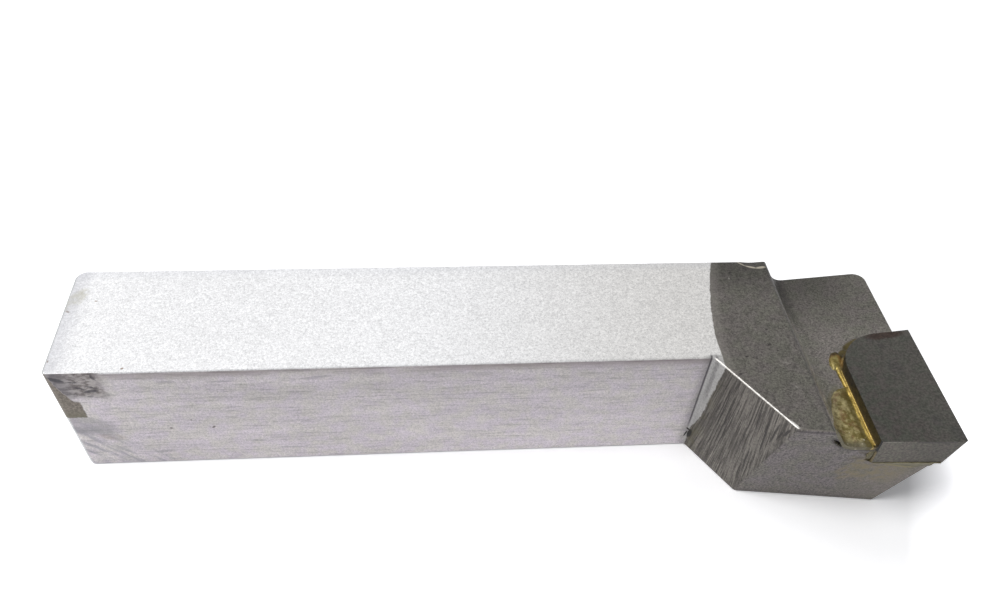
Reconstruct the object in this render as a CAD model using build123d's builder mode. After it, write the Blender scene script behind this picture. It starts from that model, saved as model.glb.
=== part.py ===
from build123d import *
import os
from math import cos, radians, sin, tan

# A brazed carbide lathe tool for facing, on a square shank of the 3/4 inch size.
# One bar of steel makes the shank and the head, which is offset to one side.
# A carbide tip lies in an open seat at the end of the head, and brass filler holds it there.
# Frame: +X runs from the rear end to the cutting edge, +Z is up, and the head is offset to -Y.
# The origin is the middle of the shank's base. Sizes are in millimetres and angles in degrees.

# Shank
shank_length = 85.6  # from the rear end to the root of the shoulder
shank_width = 19.05
shank_height = 19.05
rear_back_radius = 1.5  # upright corner of the rear end, on the side away from the offset
rear_front_radius = 0.8

# Head
head_length = 28.8  # from the root of the shoulder to the cutting edge
head_offset = 15.0  # how far the nose stands out past the shank's side
shoulder_angle = 58.0  # of the slanting shoulder to the shank's length
side_angle = 7.3  # how far the offset side turns away from the cut, seen from above
steel_relief = 10.6  # how far the two ground faces lean in below the tip
root_radius = 0.6
shoulder_corner_radius = 0.9
nose_break = 0.3
back_corner_radius = 1.7
edge_radius = 0.3
chip_radius = 8.0  # of the hollow chip in the head's back top edge
chip_centre_rise = 7.65  # of the hollow's centre over the shank's top
chip_centre_gap = 1.0  # from the shank's back face out to the hollow's centre
chip_setback = 18.6  # from the cutting edge to the chip's middle

# Pocket milled across the head, which leaves the tip standing clear for the chips
pocket_length = 16.45  # from the cutting edge back to the pocket's wall
pocket_depth = 2.7  # below the shank's top, at the cutting edge
pocket_slope = 5.5  # of the floor, which rises to the cutting edge
pocket_wall_lean = 32.0  # off the upright
pocket_radius = 2.3
pocket_lip_radius = 1.2
lip_lift = 2.0  # of the lip's upper end off the flat top

# Carbide tip
tip_width = 10.25  # along the rake, square to the cutting edge
tip_length = 19.5  # along the cutting edge
tip_thickness = 5.2
tip_corner_radius = 5.5
tip_corner_facet = 0.15
nose_radius = 0.3
nose_drop = 0.25  # of the nose below the shank's top
rake_angle = 7.5
carbide_relief = 6.0

# Seat and filler
end_overhang = 0.4  # of the tip past the steel of the end
side_overhang = 0.45  # of the tip past the steel of the offset side
bed_thickness = 0.2  # filler under the tip
wall_gap = 0.15  # filler between the tip and the seat's walls
skirt_height = 1.8  # of the filler under the two overhangs

# Filler that shows on the pocket's floor
meniscus_width = 0.6  # along the tip's rear wall
meniscus_height = 0.95
meniscus_hollow = 0.3  # where its hollow face passes the corner, as a share of its width and height
rim_width = 0.4  # round the tip's corner and along its back
rim_height = 0.35
flood_length = 9.8  # of the filler that ran out over the pocket, from the offset side inwards
flood_lip_gap = 0.15  # from the pocket's lip to the flood's edge at the offset side
flood_foot_length = 3.8  # from the offset side to where that edge comes down to the pocket's floor
flood_foot_share = 0.365  # where that place lies between the pocket's lip and the tip
flood_bay_length = 8.2  # from the offset side to where the flood starts to narrow
flood_bay_share = 0.57
flood_end_share = 0.78  # the same for the flood's inner end
flood_thickness = 0.4
flood_corner_radius = 1.0
cleft_length = 2.3  # opening at the offset side, between the flood and the pocket's wall
cleft_width = 0.6
cleft_depth = 1.3
cleft_lean = 46.0  # off the upright
cleft_setback = 15.1  # from the cutting edge to the cleft's middle
cleft_drop = 2.85  # from the shank's top to the cleft's middle
droplet_radius = 0.9  # drop where the meniscus ends at the tip's corner
droplet_height = 0.8
droplet_gap = 0.35  # from the tip's rear wall to the drop's centre
droplet_advance = 2.4  # from the start of the tip's rounded corner to the drop's centre


def slope(angle):
    """Rise over run of an angle."""
    return tan(radians(angle))


# Levels and places that follow from the sizes
upright_share = 0.9  # an edge that spans this share of a height runs from bottom to top
root_x = shank_length / 2
nose_x = root_x + head_length
nose_y = -shank_width / 2 - head_offset
nose_z = shank_height - nose_drop
back_y = shank_width / 2
pocket_x = nose_x - pocket_length
floor_z = shank_height - pocket_depth
flood_y = nose_y + pocket_length * slope(side_angle)
tip_run = tip_width * cos(radians(rake_angle))
tip_rear_x = nose_x - tip_run
tip_rear_z = nose_z - tip_run * slope(rake_angle)
tip_stand = tip_run * (slope(pocket_slope) - slope(rake_angle)) + nose_z - floor_z
seat_depth = tip_thickness + bed_thickness
flank_drop = tip_thickness / cos(radians(rake_angle))
flank_step = flank_drop * slope(carbide_relief)
beyond = head_offset + shank_height  # far enough to pass any face of the head
nose = Vector(nose_x, nose_y, nose_z)
carbide_foot = nose + Vector(-flank_step, flank_step, -flank_drop)
steel_corner = carbide_foot + Vector(-end_overhang, side_overhang, 0)
rake_plane = Plane(origin=nose, x_dir=(1, 0, slope(rake_angle)), z_dir=(-slope(rake_angle), 0, 1))
floor_plane = Plane(origin=(nose_x, nose_y, floor_z), z_dir=(-slope(pocket_slope), 0, 1))


def upright_edges(part, height):
    """The part's edges that run from its bottom to its top."""
    return part.edges().filter_by(lambda edge: edge.bounding_box().size.Z > height * upright_share)


def end_face(point, lean):
    """The plane of a face at the cutting end, where lean is its step inwards over its drop."""
    return Plane(origin=point, z_dir=(1, 0, -lean))


def side_face(point, lean):
    """The plane of a face on the offset side, where lean is its step inwards over its drop."""
    return Plane(origin=point, z_dir=(-slope(side_angle), -1, -lean))


def pocket_foot(inset):
    """Where the pocket's wall and floor would meet, this far inside the pocket's open space."""
    lean = slope(pocket_wall_lean)
    rise = slope(pocket_slope)
    wall_x = pocket_x + inset / cos(radians(pocket_wall_lean))
    floor_at_nose = floor_z + inset / cos(radians(pocket_slope))
    foot_x = (wall_x + lean * (shank_height - floor_at_nose + rise * nose_x)) / (1 + lean * rise)
    return foot_x, floor_at_nose + rise * (foot_x - nose_x)


def pocket_section(inset):
    """The pocket's open space seen from the offset side, drawn smaller by this inset."""
    foot_x, foot_z = pocket_foot(inset)
    lip_x = foot_x - slope(pocket_wall_lean) * (shank_height - foot_z)
    lead = (lip_x - beyond, shank_height + beyond * slope(lip_lift))
    far = (foot_x + beyond, foot_z + beyond * slope(pocket_slope))
    with BuildSketch(Plane.XZ) as section:
        with BuildLine():
            FilletPolyline(
                lead,
                (lip_x, shank_height),
                (foot_x, foot_z),
                far,
                radius=(pocket_lip_radius, pocket_radius),
            )
            Polyline(far, (foot_x + beyond, shank_height + beyond), lead)
        make_face()
    return section.sketch


def tip_outline(gap):
    """The tip seen square to its rake face, with a gap round its rear wall and its back."""
    left = -tip_width - gap
    back = tip_length + gap
    with BuildSketch(rake_plane) as outline:
        with BuildLine():
            FilletPolyline(
                (beyond, back),
                (left, back),
                (left, -beyond),
                radius=tip_corner_radius + gap,
            )
            Polyline((left, -beyond), (beyond, -beyond), (beyond, back))
        make_face()
    return outline.sketch


def meniscus_section(width, height):
    """Hollow fillet of filler against the tip's rear wall, drawn into the steel and the tip."""
    start = rake_plane.offset(-tip_stand).from_local_coords((-tip_width, -beyond, 0))
    across = Plane(origin=start, x_dir=-rake_plane.x_dir, z_dir=rake_plane.y_dir)
    with BuildSketch(across) as section:
        with BuildLine():
            ThreePointArc((width, 0), (width * meniscus_hollow, height * meniscus_hollow), (0, height))
            Polyline((0, height), (-wall_gap, height), (-wall_gap, -height), (width, -height), (width, 0))
        make_face()
    return section.sketch


def cleft_section():
    """The cleft's outline, on an upright plane at its inner end."""
    with BuildSketch(Plane.XZ.offset(-flood_y - cleft_depth)) as section:
        with Locations(Location((nose_x - cleft_setback, shank_height - cleft_drop), cleft_lean)):
            Ellipse(cleft_width / 2, cleft_length / 2)
    return section.sketch


# Steel shank and head, in one piece
with BuildPart() as steel_shank:
    shoulder_run = (head_offset + beyond) / slope(shoulder_angle)
    with BuildSketch(Plane.XY):
        with BuildLine():
            Polyline(
                (root_x, -back_y),
                (root_x + shoulder_run, nose_y - beyond),
                (nose_x + beyond, nose_y - beyond),
                (nose_x + beyond, back_y),
                (root_x, back_y),
                close=True,
            )
        make_face()
    extrude(amount=shank_height)
    split(bisect_by=end_face(steel_corner, slope(steel_relief)), keep=Keep.BOTTOM)
    split(bisect_by=side_face(steel_corner, slope(steel_relief)), keep=Keep.BOTTOM)
    with BuildSketch(Plane.XY):
        Rectangle(shank_length, shank_width)
    extrude(amount=shank_height)

    # Upright corners
    uprights = upright_edges(steel_shank, shank_height)
    head_uprights = uprights.filter_by(lambda edge: edge.center().X > 0)
    root_edge, shoulder_edge = head_uprights.sort_by(Axis.X)[0:2]
    nose_edge = head_uprights.sort_by(Axis.Y)[0:2].sort_by(Axis.X)[-1]
    back_edge = head_uprights.sort_by(Axis.Y)[-1]
    rear_front_edge, rear_back_edge = uprights.filter_by(lambda edge: edge.center().X < 0).sort_by(Axis.Y)
    fillet(nose_edge, nose_break)
    fillet(back_edge, back_corner_radius)
    fillet(shoulder_edge, shoulder_corner_radius)
    fillet(root_edge, root_radius)
    fillet(rear_front_edge, rear_front_radius)
    fillet(rear_back_edge, rear_back_radius)

    # Level edges
    fillet(steel_shank.faces().filter_by(Plane.XY).edges(), edge_radius)

    # Pocket with its rounded lip
    extrude(pocket_section(0), amount=beyond, both=True, mode=Mode.SUBTRACT)

    # Chip in the back top edge, beside the pocket's lip
    with Locations((nose_x - chip_setback, back_y + chip_centre_gap, shank_height + chip_centre_rise)):
        Sphere(chip_radius, mode=Mode.SUBTRACT)

    # Seat of the tip, open at the end and at the offset side
    extrude(tip_outline(wall_gap), amount=-seat_depth, mode=Mode.SUBTRACT)
    extrude(cleft_section(), amount=beyond, mode=Mode.SUBTRACT)

# Carbide tip, ground on its two working flanks
with BuildPart() as carbide_tip:
    extrude(tip_outline(0), amount=-tip_thickness)
    split(bisect_by=end_face(nose, slope(carbide_relief)), keep=Keep.BOTTOM)
    split(bisect_by=side_face(nose, slope(carbide_relief)), keep=Keep.BOTTOM)
    front_edges = upright_edges(carbide_tip, tip_thickness).sort_by(Axis.Y)[0:2].sort_by(Axis.X)
    chamfer(front_edges[0], tip_corner_facet)
    end_edges = upright_edges(carbide_tip, tip_thickness).sort_by(Axis.X)[-2:]
    fillet(end_edges.sort_by(Axis.Y)[0], nose_radius)

# Filler in the seat, with the skirts that slope from the tip's overhangs back to the steel
with BuildPart() as seat_filler:
    extrude(tip_outline(wall_gap), amount=-seat_depth - 2 * skirt_height)
    extrude(tip_outline(0), amount=-tip_thickness, mode=Mode.SUBTRACT)
    split(bisect_by=end_face(nose, slope(carbide_relief)), keep=Keep.BOTTOM)
    split(bisect_by=side_face(nose, slope(carbide_relief)), keep=Keep.BOTTOM)
    end_lean = slope(steel_relief) + end_overhang / skirt_height
    side_lean = slope(steel_relief) + side_overhang / skirt_height
    split(bisect_by=end_face(carbide_foot, end_lean), keep=Keep.BOTTOM)
    split(bisect_by=side_face(carbide_foot, side_lean), keep=Keep.BOTTOM)
    split(bisect_by=floor_plane, keep=Keep.BOTTOM)

# All the filler: the flood with its cleft, the meniscus, the drop and what is in the seat
with BuildPart() as braze_filler:
    foot_z = pocket_foot(0)[1]
    pocket_run = tip_rear_x - pocket_x
    with BuildSketch(Plane.XY.offset(foot_z - flood_thickness)):
        with BuildLine():
            FilletPolyline(
                (pocket_x + flood_lip_gap, flood_y - beyond),
                (pocket_x + flood_lip_gap, flood_y),
                (pocket_x + pocket_run * flood_foot_share, flood_y + flood_foot_length),
                (pocket_x + pocket_run * flood_bay_share, flood_y + flood_bay_length),
                (pocket_x + pocket_run * flood_end_share, flood_y + flood_length),
                (tip_rear_x + wall_gap, flood_y + flood_length),
                (tip_rear_x + wall_gap, flood_y - beyond),
                radius=(0, flood_corner_radius, flood_corner_radius, flood_corner_radius, 0),
            )
            Line((tip_rear_x + wall_gap, flood_y - beyond), (pocket_x + flood_lip_gap, flood_y - beyond))
        make_face()
    extrude(amount=shank_height - foot_z)
    extrude(pocket_section(flood_thickness), amount=beyond, both=True, mode=Mode.SUBTRACT)
    extrude(cleft_section(), amount=beyond, mode=Mode.SUBTRACT)

    extrude(
        meniscus_section(meniscus_width, meniscus_height),
        amount=beyond + tip_length - tip_corner_radius,
    )
    with BuildLine(rake_plane.offset(-tip_stand)) as rim_path:
        FilletPolyline(
            (-tip_width, -beyond),
            (-tip_width, tip_length),
            (beyond, tip_length),
            radius=tip_corner_radius,
        )
    sweep(meniscus_section(rim_width, rim_height), path=rim_path.line)

    ball_radius = (droplet_radius**2 + droplet_height**2) / (2 * droplet_height)
    droplet_y = nose_y + tip_length - tip_corner_radius + droplet_advance
    droplet_z = tip_rear_z - tip_stand + droplet_height - ball_radius
    with Locations((tip_rear_x - droplet_gap, droplet_y, droplet_z)):
        Sphere(ball_radius)

    split(bisect_by=side_face(steel_corner, slope(steel_relief)), keep=Keep.BOTTOM)
    split(bisect_by=end_face(steel_corner, slope(steel_relief)), keep=Keep.BOTTOM)
    add(seat_filler.part)
    add(carbide_tip.part, mode=Mode.SUBTRACT)
    add(steel_shank.part, mode=Mode.SUBTRACT)

steel_shank.part.label = "steel_shank"
carbide_tip.part.label = "carbide_tip"
braze_filler.part.label = "braze_filler"

os.makedirs("parts", exist_ok=True)
export_step(steel_shank.part, "parts/steel_shank.step")
export_step(carbide_tip.part, "parts/carbide_tip.step")
export_step(braze_filler.part, "parts/braze_filler.step")
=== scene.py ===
from math import cos, hypot, radians, sin, sqrt, tan

import bmesh
import bpy
from mathutils import Matrix, Vector, noise


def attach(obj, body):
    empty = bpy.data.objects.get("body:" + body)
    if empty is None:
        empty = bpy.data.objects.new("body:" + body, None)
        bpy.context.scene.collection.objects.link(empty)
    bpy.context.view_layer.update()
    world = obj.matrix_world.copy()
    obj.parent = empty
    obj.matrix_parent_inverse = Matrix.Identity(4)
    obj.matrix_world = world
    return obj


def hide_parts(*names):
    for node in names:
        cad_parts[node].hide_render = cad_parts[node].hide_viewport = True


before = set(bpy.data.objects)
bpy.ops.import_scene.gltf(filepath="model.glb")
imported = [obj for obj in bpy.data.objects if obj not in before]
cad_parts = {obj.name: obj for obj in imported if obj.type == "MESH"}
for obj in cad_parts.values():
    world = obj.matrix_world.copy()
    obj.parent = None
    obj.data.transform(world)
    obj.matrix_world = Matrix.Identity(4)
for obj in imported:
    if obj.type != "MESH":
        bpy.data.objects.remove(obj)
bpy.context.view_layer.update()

MM = 0.001
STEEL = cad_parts["steel_shank"]
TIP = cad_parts["carbide_tip"]
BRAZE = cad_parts["braze_filler"]


# Node arithmetic

class Wire:
    """An output socket in a node tree, with plain arithmetic that adds Math nodes."""

    def __init__(self, tree, socket):
        self.tree = tree
        self.socket = socket

    def math(self, operation, *others, clamp=False):
        node = self.tree.nodes.new("ShaderNodeMath")
        node.operation = operation
        node.use_clamp = clamp
        join(self.tree, self, node.inputs[0])
        for i, other in enumerate(others):
            join(self.tree, other, node.inputs[i + 1])
        return Wire(self.tree, node.outputs[0])

    def __add__(self, other):
        return self.math("ADD", other)

    def __radd__(self, other):
        return self.math("ADD", other)

    def __sub__(self, other):
        return self.math("SUBTRACT", other)

    def __rsub__(self, other):
        return self.math("MULTIPLY_ADD", -1.0, other)

    def __mul__(self, other):
        return self.math("MULTIPLY", other)

    def __rmul__(self, other):
        return self.math("MULTIPLY", other)

    def __abs__(self):
        return self.math("ABSOLUTE")

    def __pow__(self, other):
        return self.math("POWER", other)

    def low(self, other):
        return self.math("MINIMUM", other)

    def high(self, other):
        return self.math("MAXIMUM", other)

    def clip(self):
        return self.math("ADD", 0.0, clamp=True)

    def rise(self, start, end):
        """0 before start, 1 after end, smooth between; start may be above end."""
        node = self.tree.nodes.new("ShaderNodeMapRange")
        node.interpolation_type = "SMOOTHSTEP"
        join(self.tree, self, node.inputs["Value"])
        if start > end:
            start, end = end, start
            node.inputs["To Min"].default_value = 1.0
            node.inputs["To Max"].default_value = 0.0
        node.inputs["From Min"].default_value = start
        node.inputs["From Max"].default_value = end
        return Wire(self.tree, node.outputs["Result"])

    def hump(self, middle, width, soft):
        """1 within width of the middle, falling to 0 over soft."""
        return abs(self - middle).rise(width + soft, width)


def join(tree, value, socket):
    if isinstance(value, Wire):
        tree.links.new(value.socket, socket)
    else:
        socket.default_value = value


class Finish:
    """One material's node tree. Lengths in it are millimetres in the part's frame."""

    def __init__(self, name):
        self.material = bpy.data.materials.new(name)
        self.material.use_nodes = True
        self.tree = self.material.node_tree
        self.shader = self.tree.nodes["Principled BSDF"]
        place = self.tree.nodes.new("ShaderNodeTexCoord")
        scale = self.tree.nodes.new("ShaderNodeVectorMath")
        scale.operation = "SCALE"
        self.tree.links.new(place.outputs["Object"], scale.inputs[0])
        scale.inputs["Scale"].default_value = 1 / MM
        self.point = Wire(self.tree, scale.outputs[0])
        self.x, self.y, self.z = self.split(self.point)
        self.normal = Wire(self.tree, place.outputs["Normal"])
        self.nz = self.split(self.normal)[2]

    def split(self, vector):
        node = self.tree.nodes.new("ShaderNodeSeparateXYZ")
        join(self.tree, vector, node.inputs[0])
        return [Wire(self.tree, out) for out in node.outputs]

    def vector(self, x, y, z):
        node = self.tree.nodes.new("ShaderNodeCombineXYZ")
        for value, socket in zip((x, y, z), node.inputs):
            join(self.tree, value, socket)
        return Wire(self.tree, node.outputs[0])

    def dot(self, vector, constant):
        node = self.tree.nodes.new("ShaderNodeVectorMath")
        node.operation = "DOT_PRODUCT"
        join(self.tree, vector, node.inputs[0])
        join(self.tree, constant, node.inputs[1])
        return Wire(self.tree, node.outputs["Value"])

    def noise(self, size, detail=2.0, rough=0.5, at=None, shift=0.0):
        """Soft noise about 0.5, with features of about the given size in millimetres."""
        node = self.tree.nodes.new("ShaderNodeTexNoise")
        node.inputs["Scale"].default_value = 1.0 / size
        node.inputs["Detail"].default_value = detail
        node.inputs["Roughness"].default_value = rough
        where = at or self.point
        if shift:
            add = self.tree.nodes.new("ShaderNodeVectorMath")
            add.operation = "ADD"
            join(self.tree, where, add.inputs[0])
            add.inputs[1].default_value = (shift, -0.7 * shift, 0.4 * shift)
            where = Wire(self.tree, add.outputs[0])
        join(self.tree, where, node.inputs["Vector"])
        return Wire(self.tree, node.outputs[0])

    def cells(self, size):
        """Distance to the nearest of scattered points, in units of the size."""
        node = self.tree.nodes.new("ShaderNodeTexVoronoi")
        node.inputs["Scale"].default_value = 1.0 / size
        join(self.tree, self.point, node.inputs["Vector"])
        return Wire(self.tree, node.outputs["Distance"])

    def facing(self, direction, start, end):
        """1 where the surface faces the given direction; start and end are cosines."""
        return self.dot(self.normal, Vector(direction).normalized()).rise(start, end)

    def marks(self, u, v, places):
        """1 on long ovals, each given as (start, end, width), in the plane of two coordinates; their rims fade."""
        at = self.vector(u, v, 1.0)
        nearest = None
        for (x0, y0), (x1, y1), width in places:
            length = hypot(x1 - x0, y1 - y0)
            c, s = ((x1 - x0) / length, (y1 - y0) / length) if length else (1.0, 0.0)
            mx, my = (x0 + x1) / 2, (y0 + y1) / 2
            half = length / 2 + width
            a = self.dot(at, (c / half, s / half, -(c * mx + s * my) / half))
            b = self.dot(at, (-s / width, c / width, (s * mx - c * my) / width))
            reach = b.math("MULTIPLY_ADD", b, a * a)
            nearest = reach.low(nearest) if nearest else reach
        return nearest.rise(1.0, 0.2)

    def mix(self, share, first, second):
        """Colours mixed by share; a plain colour is a tuple of linear values."""
        node = self.tree.nodes.new("ShaderNodeMix")
        node.data_type = "RGBA"
        node.clamp_factor = False
        join(self.tree, share, node.inputs[0])
        for value, socket in ((first, node.inputs[6]), (second, node.inputs[7])):
            join(self.tree, value, socket)
        return Wire(self.tree, node.outputs[2])

    def tint(self, colour, factor):
        """The colour multiplied by a number."""
        return self.mix(factor, (0.0, 0.0, 0.0, 1.0), colour)

    def bump(self, *layers):
        """Layers are (height, distance in millimetres)."""
        total = 0.0
        for height, distance in layers:
            total = height * distance + total
        node = self.tree.nodes.new("ShaderNodeBump")
        node.inputs["Distance"].default_value = MM
        join(self.tree, total, node.inputs["Height"])
        join(self.tree, Wire(self.tree, node.outputs[0]), self.shader.inputs["Normal"])

    def set(self, **values):
        for name, value in values.items():
            join(self.tree, value, self.shader.inputs[name.replace("_", " ")])


def srgb(red, green, blue):
    """A display colour, 0 to 255, as linear values with alpha."""
    linear = []
    for value in (red, green, blue):
        c = value / 255
        linear.append(c / 12.92 if c <= 0.04045 else ((c + 0.055) / 1.055) ** 2.4)
    return (*linear, 1.0)


def add_object(name, data):
    thing = bpy.data.objects.new(name, data)
    bpy.context.scene.collection.objects.link(thing)
    return thing


# Camera

CAMERA_AT = (4.898, -82.213, 99.074)
CAMERA_PITCH = radians(49.837)
CAMERA_YAW = radians(7.647)
CAMERA_ROLL = radians(-4.194)
FOCAL_PIXELS = 838.02
FRAME_PIXELS = 1000
CENTRE_DROP_PIXELS = 97
SENSOR = 36.0


def make_camera():
    forward = Vector((sin(CAMERA_YAW) * cos(CAMERA_PITCH), cos(CAMERA_YAW) * cos(CAMERA_PITCH), -sin(CAMERA_PITCH)))
    right = Vector((cos(CAMERA_YAW), -sin(CAMERA_YAW), 0))
    down = forward.cross(right)
    across = right * cos(CAMERA_ROLL) + down * sin(CAMERA_ROLL)
    below = down * cos(CAMERA_ROLL) - right * sin(CAMERA_ROLL)
    data = bpy.data.cameras.new("camera")
    data.sensor_width = SENSOR
    data.lens = FOCAL_PIXELS / FRAME_PIXELS * SENSOR
    data.shift_y = CENTRE_DROP_PIXELS / FRAME_PIXELS
    data.clip_start = 0.005
    data.clip_end = 10.0
    camera = add_object("camera", data)
    turn = Matrix((across, -below, -forward)).transposed().to_4x4()
    camera.matrix_world = Matrix.Translation(Vector(CAMERA_AT) * MM) @ turn
    bpy.context.scene.camera = camera


# Floor and light, in metres and watts

LAMP_AIM = (0.01, -0.01, 0.0)


def make_floor():
    half = 3.0
    below = -0.00002  # keeps it clear of the tool's base
    mesh = bpy.data.meshes.new("floor")
    corners = [(-half, -half, below), (half, -half, below), (half, half, below), (-half, half, below)]
    mesh.from_pydata(corners, [], [(0, 1, 2, 3)])
    floor = add_object("floor", mesh)
    f = Finish("floor")
    f.set(Base_Color=(0.62, 0.62, 0.63, 1), Roughness=0.9, Specular_IOR_Level=0.0)
    lit = f.tree.nodes.new("ShaderNodeBsdfDiffuse")
    lit.inputs["Color"].default_value = (0.9, 0.9, 0.91, 1)
    more = f.tree.nodes.new("ShaderNodeBsdfDiffuse")
    glow = f.tree.nodes.new("ShaderNodeEmission")
    glow.inputs["Color"].default_value = (0.97, 0.97, 1.0, 1)
    path = f.tree.nodes.new("ShaderNodeLightPath")
    rays = Wire(f.tree, path.outputs["Is Camera Ray"])

    # To the camera the floor fades to white beyond the nose and far out, a painted light that keeps only the shadow's
    # core
    camera_light = 0.3
    camera_glow = 0.03
    camera_white = 0.75
    reflected_glow = 0.26
    beyond = (f.x - 0.42 * f.y - 82.0) * 0.106
    far = (f.x * f.x + f.y * f.y) ** 0.5
    white = beyond.clip().high(far.rise(110.0, 300.0)) * camera_white
    join(f.tree, rays * camera_light, more.inputs["Color"])
    join(f.tree, reflected_glow + rays * (white - (reflected_glow - camera_glow)), glow.inputs["Strength"])
    seen = glow
    for part in (lit, more):
        both = f.tree.nodes.new("ShaderNodeAddShader")
        f.tree.links.new(seen.outputs[0], both.inputs[0])
        f.tree.links.new(part.outputs[0], both.inputs[1])
        seen = both
    for name in ("Is Glossy Ray", "Is Transmission Ray"):
        rays = rays.high(Wire(f.tree, path.outputs[name]))
    mixer = f.tree.nodes.new("ShaderNodeMixShader")
    join(f.tree, rays, mixer.inputs[0])
    f.tree.links.new(f.shader.outputs[0], mixer.inputs[1])
    f.tree.links.new(seen.outputs[0], mixer.inputs[2])
    f.tree.links.new(mixer.outputs[0], f.tree.nodes["Material Output"].inputs["Surface"])
    mesh.materials.append(f.material)


def make_lamp(name, place, size, power):
    data = bpy.data.lights.new(name, "AREA")
    data.shape = "DISK"
    data.size = size
    data.energy = power
    lamp = add_object(name, data)
    lamp.location = place
    lamp.rotation_mode = "QUATERNION"
    lamp.rotation_quaternion = (Vector(LAMP_AIM) - Vector(place)).to_track_quat("-Z", "Y")


def make_light():
    world = bpy.data.worlds.new("world")
    bpy.context.scene.world = world
    world.use_nodes = True
    background = world.node_tree.nodes["Background"]
    background.inputs["Color"].default_value = (0.97, 0.98, 1.0, 1)
    background.inputs["Strength"].default_value = 0.3
    make_lamp("left", place=(-0.45, -0.1, 0.65), size=0.45, power=4.75)
    make_lamp("behind", place=(-0.5, 0.5, 0.6), size=0.65, power=3.05)


# Places on the tool, in millimetres

NOSE = Vector((71.6, -24.525, 18.8))
TOP = 19.05
RAKE_ANGLE = radians(7.5)
RAKE = tan(RAKE_ANGLE)
FLOOR_RISE = tan(radians(5.5))  # of the pocket
FLOOR_AT_NOSE = 16.35
LIP = 55.15
WALL_ANGLE = radians(32)  # of the pocket's wall from upright
WALL_LEAN = tan(WALL_ANGLE)
POCKET_ROUNDING = 0.9
SIDE_TURN = tan(radians(7.3))
RELIEF = tan(radians(10.6))
CARBIDE_RELIEF = tan(radians(6))
TIP_THICKNESS = 5.2
TIP_DROP = TIP_THICKNESS / cos(RAKE_ANGLE)
FOOT = NOSE + Vector((-TIP_DROP * CARBIDE_RELIEF, TIP_DROP * CARBIDE_RELIEF, -TIP_DROP))
STEEL_CORNER = FOOT + Vector((-0.4, 0.45, 0.0))
TIP_REAR = 61.438  # of the rake face
TIP_BACK = NOSE.y + 19.5
CORNER = 5.5
CORNER_MIDDLE = (TIP_REAR + CORNER, TIP_BACK - CORNER)
SHOULDER = radians(58)
ROOT = Vector((42.8, -9.525, 0.0))

# Directions that the tool's faces look in
UP = Vector((0, 0, 1))
FRONT = Vector((0, -1, 0))
END_OUT = Vector((1, 0, -RELIEF))
SIDE_OUT = Vector((-SIDE_TURN, -1, -RELIEF))
WALL_OUT = Vector((cos(WALL_ANGLE), 0, sin(WALL_ANGLE)))
POCKET_UP = Vector((-FLOOR_RISE, 0, 1))
SHOULDER_OUT = Vector((-sin(SHOULDER), -cos(SHOULDER), 0))


def soft_max(a, b, width):
    """The larger of two values, with the change from one to the other rounded over a width."""
    return 0.5 * (a + b + sqrt((a - b) ** 2 + width**2))


def blend(value, start, end):
    """0 before start, 1 after end, smooth between; start may be above end."""
    t = max(0.0, min(1.0, (value - start) / (end - start)))
    return t * t * (3 - 2 * t)


def along(table, value):
    """The second column of a table, interpolated at a value of the first."""
    for (a, p), (b, q) in zip(table, table[1:]):
        if value <= b:
            return p + (q - p) * max(0.0, (value - a) / (b - a))
    return table[-1][1]


def ripple(x, y, size, seed):
    """Smooth noise between about -0.5 and 0.5, with features of the given size."""
    return noise.noise(Vector((x / size, y / size, seed)))


def pocket_height(x):
    wall = TOP - (x - LIP) / WALL_LEAN
    return soft_max(wall, FLOOR_AT_NOSE + FLOOR_RISE * (x - NOSE.x), POCKET_ROUNDING)


def carbide_wall(z):
    """Where the tip's rear wall is at a height."""
    return TIP_REAR + RAKE * (NOSE.z - RAKE * (NOSE.x - TIP_REAR) - z)


def side_y(x, z):
    """Where the steel's offset side is."""
    return STEEL_CORNER.y + SIDE_TURN * (STEEL_CORNER.x - x) + RELIEF * (STEEL_CORNER.z - z)


def end_x(z):
    """Where the steel's end face is."""
    return STEEL_CORNER.x - RELIEF * (STEEL_CORNER.z - z)


# Filler

FLOOD_EDGE = ((-26.0, 55.1), (-22.6, 55.15), (-22.0, 55.35), (-21.0, 56.1), (-20.0, 56.75), (-18.65, 57.4),
              (-17.5, 57.68), (-16.4, 57.99), (-15.3, 58.34), (-14.2, 58.76), (-13.5, 59.1), (-13.0, 59.5),
              (-12.7, 59.9), (-12.45, 60.5), (-12.3, 61.3), (-12.2, 63.0))
BEAD_FOOT = ((-23.5, 61.12), (-22.1, 61.06), (-20.7, 60.94), (-18.7, 60.86), (-16.5, 60.95), (-14.5, 61.0),
             (-12.7, 61.06), (-10.9, 61.0), (-9.6, 60.9))
FLOOD_END = -11.9
NO_FILLER = -0.5  # height above the pocket where there is none
DROP = (61.5, -7.55)
DROP_RADII = (0.85, 1.65)
DROP_TURN = radians(18)
SKIRT_START = 61.3
SKIRT_REACH = (0.38, 0.5)  # under the end and the side
SKIRT_EDGE = ((0.0, 12.2), (0.15, 11.8), (0.29, 11.4), (0.44, 11.15), (0.59, 10.95), (0.75, 10.8), (0.86, 11.2),
              (0.95, 12.1), (1.0, 12.7), (1.5, 13.0), (2.0, 12.7), (2.05, 12.2), (2.18, 11.3), (2.36, 11.6),
              (2.58, 11.3), (2.79, 11.7), (2.92, 12.2), (3.0, 12.9))


def dome(share):
    """Height of a rounded edge, from 0 at the rim to 1 at its full width; it dives outside the rim."""
    if share < 0:
        return share
    return sqrt(1 - (1 - min(share, 1.0)) ** 2)


def wall_distance(x, y):
    """How far a point of the pocket lies from the foot of the tip's wall."""
    mx, my = CORNER_MIDDLE
    foot = carbide_wall(pocket_height(x)) - TIP_REAR
    if x < mx and y > my:
        return hypot(x - foot - mx, y - my) - CORNER
    if y > my:
        return y - my - CORNER
    return TIP_REAR + foot - x


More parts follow.
